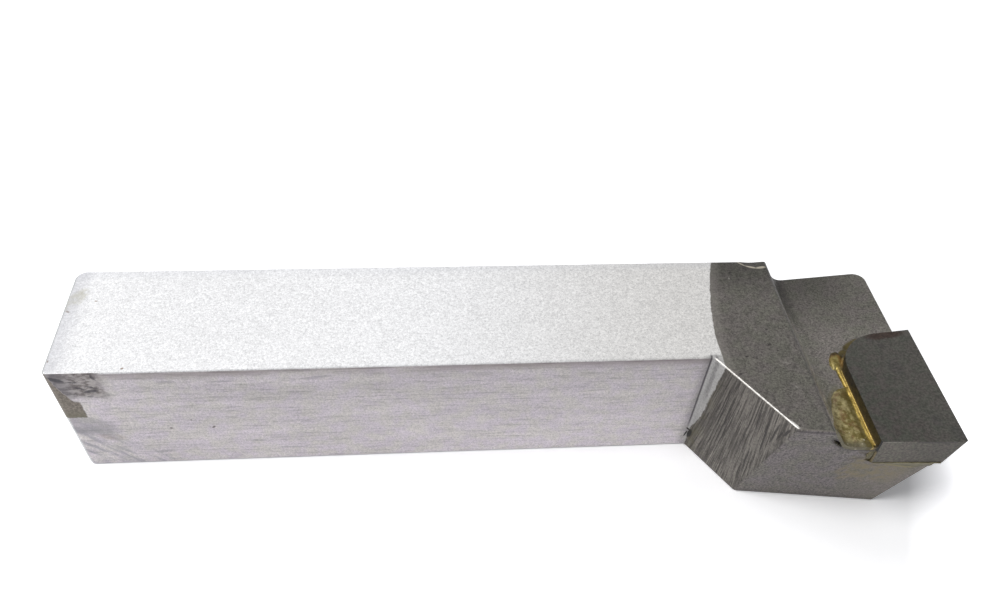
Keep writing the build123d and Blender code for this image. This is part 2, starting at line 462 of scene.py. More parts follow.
def flood_height(x, y):
    wx = x + 0.14 * ripple(x, y, 0.9, 3.0)
    wy = y + 0.14 * ripple(x, y, 0.9, 8.0)
    edge = wx - along(FLOOD_EDGE, wy)
    outside = 0.5
    if edge < -outside or y > FLOOD_END:
        return NO_FILLER
    thickness = 0.3 + 0.12 * blend(y, -20.0, -22.4)
    height = thickness * dome(edge / 0.55)
    lumps = 0.16 * ripple(x, y, 1.4, 1.0) + 0.05 * ripple(x, y, 0.5, 2.0) + 0.02 * ripple(x, y, 0.24, 6.0)
    return height + lumps * blend(edge, 0.0, 0.5)


def bead_height(x, y):
    """The filler's fillet along the tip's wall: a bright rounded crest, and a thin film up the wall."""
    reach = wall_distance(x, y)
    width = carbide_wall(15.36) - along(BEAD_FOOT, y)
    width *= 1 + 0.13 * ripple(0.0, y, 1.1, 5.0)
    fade = blend(y, -8.8, -6.8)
    crest = (0.36 + 0.03 * ripple(0.0, y, 0.9, 7.0)) * (1 - fade)
    round_part = crest * dome((width - reach) / (0.6 * width))
    if reach > width:
        return NO_FILLER
    film = 0.42 * (1 - 0.75 * fade) * blend(reach, 0.3, 0.02)
    return round_part + film - 0.1 * fade


def drop_height(x, y):
    dx, dy = x - DROP[0], y - DROP[1]
    across = dx * cos(DROP_TURN) - dy * sin(DROP_TURN)
    down = dx * sin(DROP_TURN) + dy * cos(DROP_TURN)
    spread = hypot(across / DROP_RADII[0], down / DROP_RADII[1])
    spread += 0.12 * ripple(x, y, 0.7, 9.0)
    return 0.42 * dome((1 - spread) * 1.3)


def filler_height(x, y):
    """Thickness of the exposed filler above the pocket, negative where there is none."""
    height = soft_max(flood_height(x, y), bead_height(x, y), 0.05)
    height = soft_max(height, drop_height(x, y), 0.16)
    near = blend(y, -9.3, -8.3)
    rim = 0.16 * dome((0.3 - wall_distance(x, y)) / 0.25) * near - 0.4 * (1 - near)
    return soft_max(height, rim, 0.02) - 0.04


def steps(start, end, size):
    count = max(1, round((end - start) / size))
    return [start + (end - start) * i / count for i in range(count)]


def plate(rows):
    """Closed mesh between two sheets. Rows hold (upper, lower) points or None, in a regular grid."""
    bm = bmesh.new()
    grid = {}
    for i, row in enumerate(rows):
        for j, pair in enumerate(row):
            if pair:
                grid[i, j] = (bm.verts.new(pair[0]), bm.verts.new(pair[1]))
    borders = set()
    for i, j in list(grid):
        cell = [(i, j), (i + 1, j), (i + 1, j + 1), (i, j + 1)]
        if not all(corner in grid for corner in cell):
            continue
        bm.faces.new([grid[corner][0] for corner in cell])
        bm.faces.new([grid[corner][1] for corner in reversed(cell)])
        for a, b in zip(cell, cell[1:] + cell[:1]):
            if (b, a) in borders:
                borders.remove((b, a))
            else:
                borders.add((a, b))
    for a, b in sorted(borders):
        bm.faces.new((grid[b][0], grid[a][0], grid[a][1], grid[b][1]))
    loose = [vertex for vertex in bm.verts if not vertex.link_faces]
    bmesh.ops.delete(bm, geom=loose, context="VERTS")
    return bm


def pocket_filler():
    """The flood, the bead along the tip and the drop, over the pocket."""
    inner_y = -4.4
    grid = 0.09
    dive = 0.1  # of the upper sheet into the steel at its rims
    sunk = 0.35  # depth of the lower sheet in the steel
    under = 0.3  # width of the rim that the tip covers
    rows = []
    for x in steps(55.0, 60.7, grid) + steps(60.7, 62.0, grid / 2) + steps(62.0, 71.2, 0.12):
        outer_y = side_y(x, pocket_height(x)) + 0.01
        count = round((inner_y - outer_y) / grid)
        row = []
        for j in range(count + 1):
            y = outer_y + (inner_y - outer_y) * j / count
            height = filler_height(x, y)
            if height < -dive or wall_distance(x, y) < -under:
                row.append(None)
                continue
            base = pocket_height(x)
            top_z = min(base + height, TOP - 0.03)
            pair = [Vector((x, y, top_z)), Vector((x, y, base - sunk))]
            if j == 0:
                for point in pair:
                    point.y = side_y(x, point.z) - 0.015
            row.append(pair)
        rows.append(row)
    longest = max(len(row) for row in rows)
    return plate([row + [None] * (longest - len(row)) for row in rows])


def skirt_foot(t, z):
    """A point at the skirt's foot: t goes from 0 to 1 along the side, stays at the corner to 2, then goes to 3."""
    corner_x = end_x(z)
    x = SKIRT_START + min(t, 1.0) * (corner_x - SKIRT_START)
    corner_y = side_y(corner_x, z)
    y = corner_y + (t - 2) * (TIP_BACK - corner_y) if t > 2 else side_y(x, z)
    return Vector((x, y, z))


def skirt():
    """Filler under the tip's overhangs, along the side, round the corner and along the end; its foot is bowed."""
    levels = 16
    rows = []
    for t in steps(0.0, 1.0, 0.0125) + steps(1.0, 2.0, 0.125) + steps(2.0, 3.0, 0.01) + [3.0]:
        turn = radians(90) * max(0.0, min(1.0, t - 1))
        out = Vector((SKIRT_REACH[0] * sin(turn), -SKIRT_REACH[1] * cos(turn), 0)) * (1 - 0.4 * sin(2 * turn))
        low = along(SKIRT_EDGE, t) + 0.1 * ripple(9 * t, 0.0, 0.7, 4.0)
        high = FOOT.z - RAKE * (FOOT.x - skirt_foot(t, FOOT.z).x) + 0.03
        ends = blend(t, 0.0, 0.13) * blend(t, 3.0, 2.94)
        row = []
        for k in range(levels + 1):
            share = k / levels
            foot = skirt_foot(t, low + (high - low) * share)
            lump = 0.07 * ripple(9 * t, foot.z, 0.5, 11.0) * blend(share, 0.0, 0.2) * blend(share, 1.0, 0.85)
            row.append((foot + out * (share**1.5 * ends + lump - 0.01), foot - out * 0.3))
        rows.append(row)
    return plate(rows)


def seat_filler():
    """The filler in the seat: the solid, without what lies above the pocket's floor and beyond the steel's faces."""
    seat = bmesh.new()
    seat.from_mesh(BRAZE.data)
    bmesh.ops.scale(seat, vec=(1 / MM,) * 3, verts=seat.verts)
    bmesh.ops.remove_doubles(seat, verts=seat.verts, dist=1e-4)
    limit = bmesh.new()
    bmesh.ops.create_cube(limit, size=80, matrix=Matrix.Translation(NOSE))
    floor_at = Vector((NOSE.x, NOSE.y, FLOOR_AT_NOSE - 0.02))
    for at, out in ((floor_at, POCKET_UP), (STEEL_CORNER, SIDE_OUT), (STEEL_CORNER, END_OUT)):
        everything = limit.verts[:] + limit.edges[:] + limit.faces[:]
        cut = bmesh.ops.bisect_plane(limit, geom=everything, plane_co=at, plane_no=out, clear_outer=True)
        rim = [edge for edge in cut["geom_cut"] if isinstance(edge, bmesh.types.BMEdge)]
        bmesh.ops.contextual_create(limit, geom=rim)
    pair = []
    for name, bm in (("seat", seat), ("limit", limit)):
        bmesh.ops.recalc_face_normals(bm, faces=bm.faces)
        mesh = bpy.data.meshes.new(name)
        bm.to_mesh(mesh)
        bm.free()
        pair.append(add_object(name, mesh))
    common = pair[0].modifiers.new("common", "BOOLEAN")
    common.operation = "INTERSECT"
    common.object = pair[1]
    kept = bmesh.new()
    kept.from_object(pair[0], bpy.context.evaluated_depsgraph_get())
    for extra in pair:
        bpy.data.meshes.remove(extra.data)
    return kept


def corner_lump():
    """Filler in the corner between the offset side and the overhanging tip's rear wall."""
    bm = bmesh.new()
    bmesh.ops.create_icosphere(bm, subdivisions=4, radius=1.0)
    x, z = 61.5, 14.1
    middle = Vector((x, side_y(x, z), z))
    radii = (0.45, 0.24, 0.95)
    for vertex in bm.verts:
        swell = 1 + 0.25 * ripple(vertex.co.x, vertex.co.z, 0.5, 14.0)
        vertex.co = middle + Vector([radius * part for radius, part in zip(radii, vertex.co)]) * swell
    return bm


def make_filler():
    whole = bmesh.new()
    part = bpy.data.meshes.new("part")
    for make in (pocket_filler, skirt, corner_lump, seat_filler):
        bm = make()
        bmesh.ops.recalc_face_normals(bm, faces=bm.faces)
        bm.to_mesh(part)
        bm.free()
        whole.from_mesh(part)
    bmesh.ops.scale(whole, vec=(MM,) * 3, verts=whole.verts)
    mesh = bpy.data.meshes.new("brazing_filler")
    whole.to_mesh(mesh)
    whole.free()
    for face in mesh.polygons:
        face.use_smooth = True
    mesh.set_sharp_from_angle(angle=radians(50))
    filler = add_object("brazing_filler", mesh)
    mesh.materials.append(filler_finish())
    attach(filler, "root")
    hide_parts("braze_filler")


# Materials

GRAIN = (0.28, 0.72)  # the values of a fine noise that are stretched to 0 and 1


class SteelFinish(Finish):
    """The steel's material, with the noises that its paint and its bare metal share."""

    def __init__(self, name):
        super().__init__(name)
        self.grain = self.noise(0.3, detail=3, rough=0.7).rise(*GRAIN)
        self.fine = self.noise(0.15, detail=2, rough=0.6, shift=14.0).rise(*GRAIN)
        self.hue = self.noise(2.4, detail=2, shift=17.0).rise(0.35, 0.65)
        self.patchy = self.noise(1.3, detail=4, rough=0.65, shift=21.0)
        self.wobble = self.noise(0.5, detail=2, shift=41.0) - 0.5


def silver_paint(f):
    """Silver paint over milled steel, with its brush marks, specks and the bare patch at the rear."""
    top = f.facing(UP, 0.9, 0.97)
    front = f.facing(FRONT, 0.93, 0.985)
    lengthwise = f.vector(f.x * 0.07, f.y, f.z)
    streak = f.noise(0.34, detail=3, rough=0.6, at=lengthwise)
    band = f.noise(1.4, detail=2, at=lengthwise, shift=2.0)

    lilac = f.mix(f.hue, srgb(222, 214, 221), srgb(221, 216, 214))
    paint = f.mix(front, srgb(227, 227, 228), lilac)
    # Painted shade: the top darker towards the head, where the lamps' sheen falls off
    top_painted_shade = f.x.rise(2.0, 46.0) * (1.0 - front)
    paint = f.mix(top_painted_shade * 0.9, paint, srgb(206, 204, 201))
    speckle = 0.672 + 0.32 * f.grain + 0.31 * f.fine + (f.patchy - 0.5) * 0.14
    lined = front * 0.6 + 0.1
    lines = lined * (streak.rise(0.48, 0.7) * 0.38 + (band - 0.5) * 0.55)
    # Painted light: the front lighter overall and low down, darker near its top; the top lighter from the rear towards
    # its middle
    painted_light = front * ((9.0 - f.z) * 0.014 + f.x * (14.0 - f.z).high(0.0) * 0.00016 + 0.085)
    painted_light = painted_light + (1.0 - front) * f.x.rise(-36.0, 4.0) * 0.14
    paint = f.tint(paint, speckle * (1.0 - lines + painted_light))
    under_edge = front * f.z.rise(17.2, 18.8)
    paint = f.mix(under_edge * band.rise(0.3, 0.6) * 0.75, paint, srgb(160, 149, 150))
    arris = front.high(top) * f.z.rise(18.3, 18.75) * f.y.rise(-9.3, -9.45) * f.x.rise(42.6, 42.0)
    paint = f.mix(arris * streak.rise(0.4, 0.6) * 0.5, paint, srgb(122, 112, 114))
    # Painted dark reflection on the fillets of the top's rear and back edges and of the rear corner
    edge_painted_reflection = (f.x.rise(-42.35, -42.65) * f.z.rise(17.6, 18.5)).high(f.y.rise(9.3, 9.46) * f.z.rise(18.2, 18.7))
    edge_painted_reflection = (edge_painted_reflection * (1.0 - front)).high(f.facing((-1, 1, 0), 0.8, 0.95))
    paint = f.mix(edge_painted_reflection * 0.7, paint, srgb(132, 137, 134))
    paint = f.mix(top * f.y.rise(7.2, 8.8) * band * 0.3, paint, srgb(182, 184, 194))

    # Dark streaks, specks and smudges, and the greyer rear edge of the top
    u = f.x + f.wobble * 0.25
    v = f.y + f.wobble * 0.25
    w = f.z + f.wobble * 0.2
    streaks = f.marks(u, w, (((-29.5, 17.1), (-27.0, 17.05), 0.3), ((-23.6, 16.85), (-19.5, 16.95), 0.22),
                             ((-11.4, 16.95), (-7.2, 17.45), 0.35), ((-33.2, 2.4), (-30.4, 2.7), 0.4),
                             ((-20.0, 4.4), (-17.8, 4.3), 0.25), ((-16.4, 2.6), (-12.0, 2.5), 0.2)))
    paint = f.mix(streaks * front * 0.4, paint, srgb(148, 143, 152))
    specks = f.marks(u, w, (((-29.9, 7.66), (-29.6, 7.64), 0.17), ((-26.82, 9.24), (-26.8, 9.2), 0.15),
                            ((-24.3, 7.5), (-24.0, 7.75), 0.18)))
    paint = f.mix(specks * front * 0.85, paint, srgb(92, 74, 74))
    specks = f.marks(u, v, (((-42.3, 1.6), (-42.0, 1.45), 0.2), ((-39.05, 3.5), (-38.9, 3.45), 0.15),
                            ((-42.4, -7.5), (-42.4, -7.2), 0.15), ((-33.2, -8.9), (-33.0, -8.8), 0.16)))
    paint = f.mix(specks * top * 0.85, paint, srgb(118, 92, 66))
    smudge = f.marks(u, v, (((-42.4, 2.4), (-41.0, 5.2), 1.3),))
    paint = f.mix(smudge * top * f.patchy.rise(0.3, 0.65) * 0.6, paint, srgb(164, 160, 130))
    rear_edge = (f.x + (f.patchy - 0.5) * 2.4).rise(-39.2, -42.4) * top
    paint = f.mix(rear_edge * 0.42, paint, srgb(168, 168, 176))

    # Bluish brush marks, slanting over the front's lower rear corner
    slant = f.x * 0.72 + f.z * 0.7
    brushed = f.noise(0.9, detail=3, rough=0.6, at=f.vector(slant, f.y, (f.x - f.z) * 0.12), shift=26.0)
    corner = (f.x * 0.85 + f.z).rise(-22.5, -29.5) * f.z.rise(11.0, 8.5) * front
    paint = f.mix(brushed.rise(0.4, 0.66) * corner * 0.6, paint, srgb(146, 146, 158))
    under = f.marks(u, w, (((-42.0, 9.2), (-38.0, 8.0), 2.2),)) * front * (0.5 + f.patchy)
    paint = f.mix(under * 0.4, paint, srgb(128, 128, 134))
    stain = f.marks(u, w, (((-39.3, 6.4), (-36.6, 5.9), 0.9),)) * front * f.patchy.rise(0.3, 0.6)
    paint = f.mix(stain * 0.35, paint, srgb(150, 132, 120))

    # Bare patch at the rear end: a smooth brown-grey part below, and a scraped part above
    u = f.x + (f.patchy - 0.5) * 0.6
    w = f.z + (f.patchy - 0.5) * 0.55
    over = w - 13.6 - (-40.3 - u).high(0.0) ** 1.6 * 1.7
    lower = over.rise(0.3, -0.1) * w.rise(10.3, 10.5) * u.rise(-39.6, -39.85)
    upper = (w - f.patchy * 2.0).rise(12.6, 14.2) * (u + w * 0.05 - f.patchy * 3.0).rise(-35.6, -37.6) * (1.0 - lower)
    scuff = f.noise(0.7, detail=4, rough=0.72, shift=31.0, at=f.vector(f.x * 0.5, f.y, f.z))
    scraped = f.mix(scuff.rise(0.4, 0.64), srgb(108, 100, 99), srgb(182, 176, 174))
    scraped = f.mix(f.x.rise(-38.5, -41.5) * 0.6, scraped, srgb(116, 113, 119))
    u = f.x + (f.patchy - 0.5) * 0.9
    w = f.z + (f.patchy - 0.5) * 0.7
    cuts = f.marks(u, w, (((-39.6, 16.4), (-38.4, 16.0), 0.22), ((-38.6, 15.5), (-37.0, 15.7), 0.36),
                          ((-38.5, 14.6), (-37.7, 14.7), 0.2), ((-38.2, 16.6), (-36.8, 16.1), 0.2),
                          ((-42.2, 18.2), (-40.6, 17.6), 0.5), ((-36.9, 18.7), (-36.7, 17.7), 0.25),
                          ((-40.4, 17.5), (-38.6, 17.3), 0.12), ((-35.9, 14.9), (-35.6, 14.7), 0.18)))
    scraped = f.mix(cuts * 0.8, scraped, srgb(52, 50, 58))
    smooth = f.mix(f.grain, srgb(94, 87, 77), srgb(150, 141, 131))
    smooth = f.mix(f.z.rise(12.6, 10.6) * 0.6, smooth, srgb(114, 110, 92))
    patch = lower.high(upper * scuff.rise(0.2, 0.38)) * f.facing(FRONT, 0.5, 0.75)
    paint = f.mix(patch, paint, f.mix(lower, scraped, smooth))

    # Machining lines, and painted shade beside the root of the shoulder
    near = f.y.rise(-8.9, -9.3) * f.x.rise(40.5, 41.5)
    line = (f.x + f.wobble * 0.08 - 42.5).hump(0.0, 0.05, 0.15) * f.z.rise(3.2, 6.5)
    faint = (f.x + f.wobble * 0.2 - 43.2).hump(0.0, 0.05, 0.2) * f.z.rise(9.0, 14.0) * streak
    paint = f.mix(near * line.high(faint) * 0.85, paint, srgb(84, 80, 86))
    beside = near * (f.x - 42.85).hump(0.0, 0.06, 0.15)
    paint = f.mix(beside * 0.25, paint, srgb(214, 210, 212))
    slanting = f.facing(SHOULDER_OUT, 0.9, 0.97)
    # Painted shade: darker towards the root's corner, and a little darker on the shoulder's slanting paint
    return f.tint(paint, 1.0 - near * f.x.rise(41.0, 42.6) * 0.37 - slanting * 0.04), patch


def bare_steel(f):
    """The head: milled above and ground on its upright faces, with pits, scratches and stains."""
    top = f.nz.rise(0.5, 0.75)
    milled = f.mix(f.hue, srgb(110, 108, 100), srgb(113, 108, 104))
    ground = f.mix(f.hue, srgb(116, 109, 109), srgb(112, 108, 101))
    ground = f.mix(f.z.rise(5.0, 0.0) * 0.5, ground, srgb(110, 104, 95))
    bare = f.mix(top, ground, milled)
    bare = f.tint(bare, 0.34 + 0.74 * f.grain + 0.56 * f.fine + (f.patchy - 0.5) * 0.36
                  + (f.grain - 0.5) * (1.0 - top) * 0.5)

    # Painted shade and dark reflection over the back of the top and by the pocket's lip, and painted light on the wall
    # and its foot
    back = f.y.rise(0.5, 8.5) * f.x.rise(72.0, 62.0) * top
    lip_painted_shade = (f.x - 55.2 - (f.y + 0.7) * 0.38).rise(1.1, -0.4) * f.x.rise(55.1, 55.5) * f.y.rise(-0.9, 0.8)
    bare = f.tint(bare, 1.0 - back * 0.4 - lip_painted_shade * top * 0.08)
    # Painted light on the pocket's wall, which the lip shades, more towards the front
    wall = f.facing(WALL_OUT, 0.78, 0.96) * f.x.rise(54.9, 55.3) * f.x.rise(59.0, 58.5)
    wall_light_towards_front = 0.3 + 0.86 * f.y.rise(3.0, -1.5) + 0.8 * f.y.rise(-12.5, -16.5) + 0.45 * f.y.rise(-16.5, -20.0)
    wall = wall * wall_light_towards_front * (0.94 + (f.x - 55.2).high(0.0) * 0.16)
    # Painted light on the floor at the wall's foot, where the lip's shadow falls
    floor_painted_light = f.x.rise(56.5, 58.5) * f.y.rise(1.5, -4.0) * 0.26
    foot = (f.x - 57.95).hump(0.0, 0.35, 0.75) * f.y.rise(3.0, -4.0) * f.y.rise(-23.0, -21.0) * 0.56
    bare = f.tint(bare, 1.0 + wall + (floor_painted_light + foot) * top)

    # Pits and small bright marks of the top
    u = f.x + f.wobble * 0.3
    v = f.y + f.wobble * 0.3
    w = f.z + f.wobble * 0.3
    pits = f.marks(u, v, (((51.25, -4.62), (51.4, -4.58), 0.22), ((50.9, -7.45), (51.1, -7.4), 0.24),
                          ((47.2, -9.52), (47.35, -9.48), 0.24), ((50.5, -9.7), (50.5, -9.7), 0.15),
                          ((51.8, -8.57), (51.8, -8.5), 0.16), ((49.5, -8.8), (49.5, -8.8), 0.14),
                          ((48.5, -9.8), (48.6, -9.9), 0.14), ((45.5, -12.6), (45.65, -12.5), 0.26),
                          ((49.2, 7.0), (49.3, 7.2), 0.18), ((52.6, -13.0), (52.6, -12.9), 0.16)))
    bare = f.mix(pits * top * 0.7, bare, srgb(48, 43, 43))
    glints = f.marks(f.x, f.y, (((52.2, -14.8), (52.5, -15.2), 0.13), ((54.85, -16.2), (55.05, -16.6), 0.1),
                                ((51.9, -10.7), (52.9, -11.0), 0.08), ((48.75, 5.9), (48.8, 5.7), 0.16)))
    bare = f.mix(glints * top * 0.45, bare, srgb(178, 174, 166))

    # Brown and olive stain that the filler left round the tip's corner and beside the flood
    stain = f.marks(u, v, (((62.2, -6.7), (63.4, -5.6), 0.5), ((63.4, -5.5), (64.7, -4.4), 0.6),
                           ((64.6, -4.4), (66.2, -4.0), 0.6), ((66.2, -4.0), (70.2, -4.4), 0.6),
                           ((61.7, -7.6), (62.7, -6.3), 0.6), ((63.1, -6.8), (64.1, -5.7), 0.65)))
    bare = f.mix(stain * top * (0.4 + 1.1 * f.patchy).low(1.0), bare, f.mix(f.hue, srgb(58, 48, 26), srgb(92, 82, 48)))
    film = f.marks(u, v, (((60.0, -12.3), (57.5, -17.0), 1.0),)) * top
    bare = f.mix(film * 0.45, bare, srgb(114, 106, 76))

    # The offset side: olive and brown stain, scratches, painted cleft shadow, painted shade below the rim, the filler's
    # seam
    side = f.facing(SIDE_OUT, 0.95, 0.985) * f.x.rise(52.0, 53.0)
    warp_x = f.x + (f.patchy - 0.5) * 3.4
    warp_z = f.z + (f.patchy - 0.5) * 2.6
    olive = warp_x.rise(59.0, 61.0) * warp_z.rise(5.2, 8.0) * warp_z.rise(13.8, 12.8) * warp_x.rise(69.5, 66.5)
    bare = f.mix(olive * side * (0.15 + 0.65 * f.patchy.rise(0.36, 0.62)), bare, srgb(132, 120, 84))
    rust = f.marks(u, w, (((59.8, 14.5), (61.3, 13.7), 0.35), ((61.3, 13.9), (61.8, 12.7), 0.45),
                          ((59.8, 12.3), (61.2, 12.9), 0.35)))
    bare = f.mix(side * f.x.rise(60.0, 67.0) * 0.3, bare, srgb(138, 129, 114))
    bare = f.mix(rust * side * 0.55, bare, srgb(78, 68, 46))
    scores = f.marks(u, w, (((55.0, 8.1), (55.9, 10.4), 0.13), ((55.9, 10.4), (57.4, 12.2), 0.12),
                            ((59.4, 10.4), (60.2, 10.9), 0.18), ((57.6, 9.4), (58.6, 10.6), 0.1)))
    bare = f.mix(scores * side * 0.5, bare, srgb(66, 60, 62))
    # Painted shadow in the cleft at the pocket's wall
    cleft_painted_shadow = f.marks(u, w, (((55.35, 17.45), (57.4, 15.15), 0.6),))
    bare = f.mix(cleft_painted_shadow * side * 0.85, bare, srgb(40, 30, 31))
    score = f.marks(u, w, (((61.3, 5.5), (61.6, 8.6), 0.22), ((53.4, 4.7), (55.6, 8.6), 0.1)))
    bare = f.mix(score * side * 0.3, bare, srgb(150, 140, 124))
    # Painted shade below the side's top rim
    below_rim = f.z.rise(18.25, 18.45) * f.z.rise(18.85, 18.7) * f.y.rise(-21.0, -21.6) * f.x.rise(49.8, 50.4)
    bare = f.mix(below_rim * (0.4 + 0.5 * f.patchy), bare, srgb(50, 44, 45))
    seam = (f.z - 14.72 - (f.x - 59.0) * FLOOR_RISE).hump(0.0, 0.08, 0.14) * f.x.rise(57.8, 58.5) * f.x.rise(61.9, 61.5)
    bare = f.mix(seam * side * 0.75, bare, srgb(44, 38, 34))
    # Painted shade: the upright faces darker at their base, next to the floor
    return f.tint(bare, 1.0 - f.z.rise(1.6, 0.2) * (1.0 - top) * 0.25)


def shoulder_cuts(f, bare):
    """Grooves and gouges of the slanting shoulder, and the burr along its top edge, painted as a bright highlight."""
    s = (f.x - ROOT.x) * cos(SHOULDER) - (f.y - ROOT.y) * sin(SHOULDER)
    shoulder = f.facing(SHOULDER_OUT, 0.9, 0.97) * s.rise(0.2, 0.5)
    fan = s + (f.z - 10.0) * (s - 7.5) * 0.02
    groove = f.noise(0.23, detail=4, rough=0.72, at=f.vector(fan, 0.0, f.z * 0.035))
    gouge = f.noise(0.7, detail=3, rough=0.6, at=f.vector(fan, 0.0, f.z * 0.09), shift=6.0)
    cut = f.mix(groove.rise(0.38, 0.6), srgb(57, 53, 49), srgb(127, 122, 115))
    cut = f.mix(gouge.rise(0.5, 0.64) * 0.65, cut, srgb(70, 66, 61))
    shade = s.rise(6.0, 4.0) * f.z.rise(4.0, 8.0) * 0.2 - f.z.rise(6.0, 2.0) * s.rise(2.0, 4.0) * 0.12
    cut = f.tint(cut, (0.7 + 0.6 * f.grain) * (1.0 - shade))
    wave = f.noise(0.8, detail=3, at=f.vector(s * 0.5, 0.0, f.z * 0.5), shift=8.0) - 0.5
    scars = f.marks(s + wave * 0.35, f.z, (
        ((10.6, 17.6), (11.3, 9.5), 0.2), ((9.1, 17.6), (9.4, 13.0), 0.16), ((12.1, 17.9), (11.9, 13.2), 0.22),
        ((13.7, 18.0), (13.2, 16.2), 0.25), ((5.2, 18.9), (4.5, 2.2), 0.13), ((5.75, 18.0), (5.1, 3.0), 0.1),
        ((4.3, 18.5), (3.9, 8.0), 0.1), ((8.3, 18.4), (8.2, 3.2), 0.08), ((9.7, 10.5), (10.1, 4.0), 0.18),
        ((12.9, 17.0), (12.6, 14.6), 0.16)))
    cut = f.mix(scars * (0.5 + 0.6 * groove).clip(), cut, srgb(38, 34, 34))
    olive = f.marks(s, f.z, (((0.6, 1.5), (1.6, 4.4), 1.3),)).high(s.rise(3.4, 1.6) * 0.5)
    cut = f.mix(olive * f.hue * 0.7, cut, srgb(96, 92, 72))
    bare = f.mix(shoulder * 0.95, bare, cut)

    # The burr on the shoulder's top edge, painted as a bright highlight, even at its ends and broken between
    rim = f.facing(SHOULDER_OUT + UP, 0.92, 0.98) * s.rise(-0.1, 0.4)
    wide = f.nz.rise(0.9, 0.99) * f.z.rise(18.9, 19.0)
    inward = (f.x - ROOT.x) * sin(SHOULDER) + (f.y - ROOT.y) * cos(SHOULDER)
    burr_highlight = rim.high(wide * inward.rise(0.4, 0.24) * s.rise(12.6, 13.8)) * s.rise(14.9, 14.4)
    even = s.rise(4.0, 1.5).high(s.rise(11.0, 13.0))
    burr_highlight = burr_highlight * (0.68 + f.wobble * 1.2).high(even * 0.95).clip()
    bare = f.mix(burr_highlight, bare, srgb(236, 233, 228))
    # Painted highlight along the side's top edge
    rim = f.facing((-SIDE_TURN, -1, 1), 0.9, 0.97) * f.z.rise(18.8, 18.95) * f.x.rise(50.5, 51.0)
    bare = f.mix(rim * 0.35, bare, srgb(160, 152, 144))
    chip = f.marks(f.x, f.y, (((50.9, 9.35), (51.9, 8.5), 0.2), ((51.9, 8.5), (53.4, 7.95), 0.26),
                              ((53.4, 7.95), (54.9, 8.2), 0.28)))
    bare = f.mix(chip * f.z.rise(18.5, 18.8) * 0.85, bare, srgb(204, 195, 178))
    return bare, groove * shoulder, burr_highlight


def steel_finish():
    f = SteelFinish("shank_steel")
    paint, patch = silver_paint(f)
    bare, grooves, burr_highlight = shoulder_cuts(f, bare_steel(f))

    # Edge of the paint, and the dark scar where it meets the root
    bend = (f.y + 6.2).high(0.0) ** 1.5
    fall = (18.9 - f.z) * 0.048 + (7.0 - f.z).high(0.0) * 0.14
    edge = (43.92 + bend * 0.0488 - fall + (f.patchy - 0.5) * 0.4).high(42.82)
    painted = (f.x - edge).rise(0.06, -0.06)
    bare = f.mix((f.x - edge).rise(1.8, 0.2) * f.nz.rise(0.5, 0.9) * 0.22, bare, srgb(178, 172, 166))
    scar = f.marks(f.x + f.wobble * 0.12, f.z + f.wobble * 0.12, (
        ((43.0, 3.9), (42.85, 2.0), 0.3), ((42.45, 4.0), (42.9, 3.5), 0.2), ((42.65, 3.4), (42.35, 1.9), 0.17)))
    scar = scar * f.y.rise(-9.2, -9.45)
    painted = painted * (1.0 - scar.high(burr_highlight))
    bare = f.mix(scar, bare, srgb(34, 32, 28))

    bright = painted * (1.0 - patch)
    f.set(
        Base_Color=f.mix(painted, bare, paint),
        Metallic=0.4 - 0.2 * bright,
        Roughness=0.44 + 0.06 * bright + f.grain * 0.08,
    )
    f.bump((f.grain, 0.012), (f.fine, 0.006), (grooves, 0.08))
    return f.material


